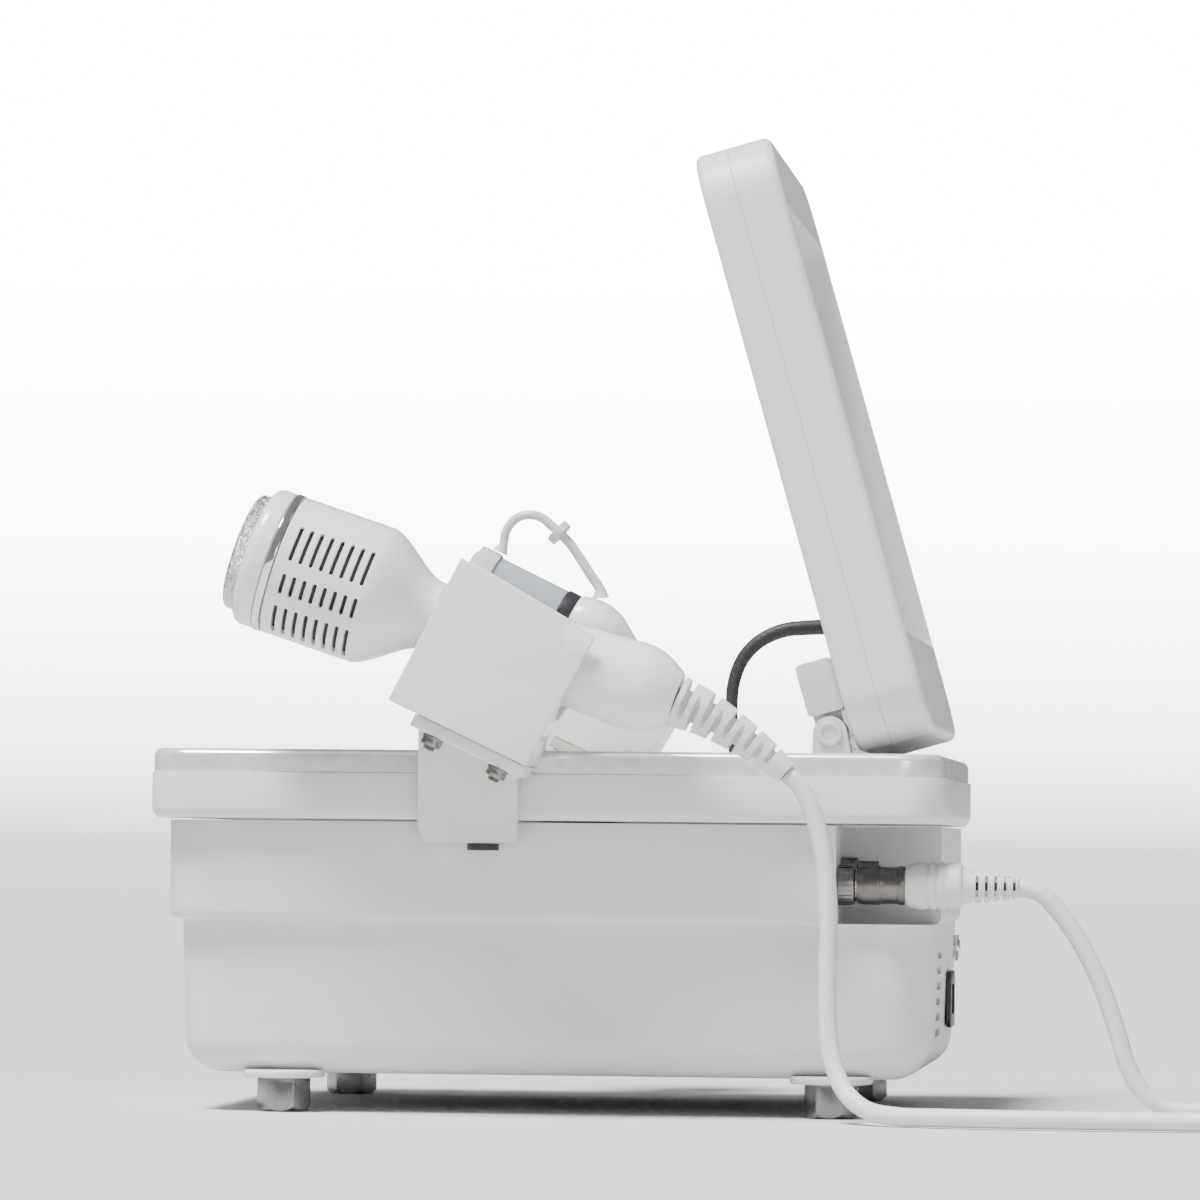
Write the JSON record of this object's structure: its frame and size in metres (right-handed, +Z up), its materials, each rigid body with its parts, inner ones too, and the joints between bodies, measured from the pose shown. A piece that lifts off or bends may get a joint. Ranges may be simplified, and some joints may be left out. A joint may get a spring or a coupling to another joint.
{
  "type": "ultrasound therapy device",
  "caption": "Stepped table-top case with a hinged display lid, a large vented handpiece on a lead in a rim-clamped cradle, and a small capped probe in a cradle behind.",
  "frame": {"origin": "under the middle of the device's box, on the surface it stands on; the free lead isn't counted", "axes": "+Z up, +X to the rear, where the lid hinges, -Y to the side with the large handpiece"},
  "size_m": [0.5922, 0.4131, 0.4372],
  "materials": {
    "white_case": "fine textured moulded plastic",
    "silver_trim": "satin silver plating",
    "foot_metal": "turned, zinc plated",
    "hinge_grey": "die cast, painted light grey",
    "chrome": "polished",
    "gloss_white": "polished warm white",
    "handpiece_white": "smooth white",
    "cord_grey": "soft grey-white jacket",
    "black_plastic": "black",
    "glass_dark": "dark glass",
    "panel_grey": "panel module",
    "inner_metal": "sheet",
    "board_green": "circuit board",
    "clear_tip": "clear, cool tint",
    "silicone": "translucent silicone"
  },
  "bodies": {
    "root": {"lower_housing": "white_case", "top_cover": "white_case", "deck_panel": "white_case", "clamp_bracket_a": "white_case", "clamp_bracket_b": "white_case", "trim_band": "silver_trim", "foot_1": "foot_metal", "foot_2": "foot_metal", "foot_3": "foot_metal", "foot_4": "foot_metal", "socket_a": "foot_metal", "socket_b": "foot_metal", "plug_a_collar": "foot_metal", "cradle_bolt_a1": "foot_metal", "cradle_bolt_a2": "foot_metal", "hinge_block_near": "hinge_grey", "hinge_block_far": "hinge_grey", "hinge_pin_near": "hinge_grey", "hinge_pin_far": "hinge_grey", "power_button_ring": "chrome", "cradle_a": "gloss_white", "cradle_plate_a": "gloss_white", "cradle_b": "gloss_white", "cradle_plate_b": "gloss_white", "plug_a_body": "cord_grey", "lead_a_front": "cord_grey", "lead_a_rear": "cord_grey", "lead_a_coil": "cord_grey", "fan_frame": "black_plastic", "mains_inlet": "black_plastic", "clamp_screw_a": "black_plastic", "clamp_screw_b": "black_plastic", "display_cable": "black_plastic", "power_supply": "inner_metal", "heat_sink": "inner_metal", "generator_board": "board_green"},
    "lid": {"lid_front_bezel": "white_case", "lid_back_shell": "white_case", "screen_glass": "glass_dark", "display_panel": "panel_grey", "hinge_leaf_near": "hinge_grey", "hinge_leaf_far": "hinge_grey"},
    "fan": {"fan_rotor": "black_plastic"},
    "button": {"power_button": "chrome"},
    "handpiece_a": {"contact_plate_a": "chrome", "transducer_a": "inner_metal", "nose_ring_a": "handpiece_white", "chrome_ring_a": "chrome", "head_shell_a": "handpiece_white", "handle_a": "handpiece_white", "boot_a": "cord_grey"},
    "handpiece_b": {"clear_tip_b": "clear_tip", "dark_ring_b": "black_plastic", "body_b": "handpiece_white", "boot_b": "cord_grey", "tether_b": "silicone", "tether_bead_b": "silicone"},
    "cap_b": {"silicone_cap_b": "silicone"}
  },
  "joints": [
    {"name": "lid_hinge", "type": "hinge", "parent": "root", "child": "lid", "pos_m": [0.1253, 0, 0.1704], "axis": [0, 1, 0], "range_deg": [-74, 5], "deforming": ["display_cable"]},
    {"name": "fan_spin", "type": "hinge", "parent": "root", "child": "fan", "pos_m": [0.1537, -0.04, 0.054], "axis": [1, 0, 0], "continuous": true},
    {"name": "power_button_press", "type": "slide", "parent": "root", "child": "button", "axis": [-1, 0, 0], "range_m": [0, 0.002], "stiffness_N_per_m": 400, "springref_m": -0.001},
    {"name": "handpiece_a_lift", "type": "slide", "parent": "root", "child": "handpiece_a", "axis": [0.4258, 0, 0.9048], "range_m": [0, 0.09]},
    {"name": "handpiece_b_lift", "type": "slide", "parent": "root", "child": "handpiece_b", "axis": [0.4258, 0, 0.9048], "range_m": [0, 0.08]},
    {"name": "cap_pull", "type": "slide", "parent": "handpiece_b", "child": "cap_b", "axis": [-0.8973, 0, 0.4415], "range_m": [0, 0.02], "deforming": ["tether_b"]}
  ]
}
